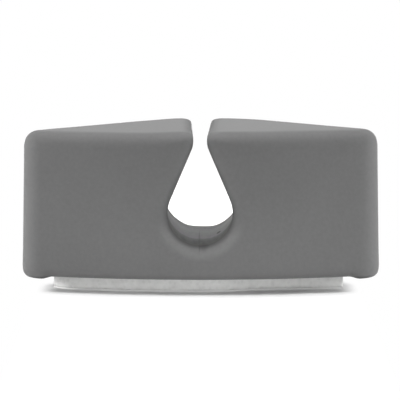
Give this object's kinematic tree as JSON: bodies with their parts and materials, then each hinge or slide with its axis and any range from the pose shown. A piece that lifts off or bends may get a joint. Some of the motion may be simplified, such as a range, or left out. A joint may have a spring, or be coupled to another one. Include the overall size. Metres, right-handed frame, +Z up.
{
  "type": "self-adhesive cable clip",
  "caption": "Small self-adhesive cable clip: soft moulded block with a keyhole slot that a cable is pressed into, on a foam tape pad with its release liner.",
  "frame": {"origin": "centre of the clip's footprint, on the surface that it stands on, under the release liner", "axes": "+X across the broad front, +Y from the broad front to the narrow back, along the cable, +Z up, away from the tape"},
  "size_m": [0.025, 0.0148, 0.0113],
  "materials": {
    "clip_rubber": "matt moulded soft rubber, fine grain",
    "tape_foam": "pale closed-cell foam, cut edge",
    "liner_paper": "smooth coated paper"
  },
  "bodies": {
    "root": {"clip_body": "clip_rubber", "foam_tape": "tape_foam", "release_liner": "liner_paper"}
  },
  "joints": []
}
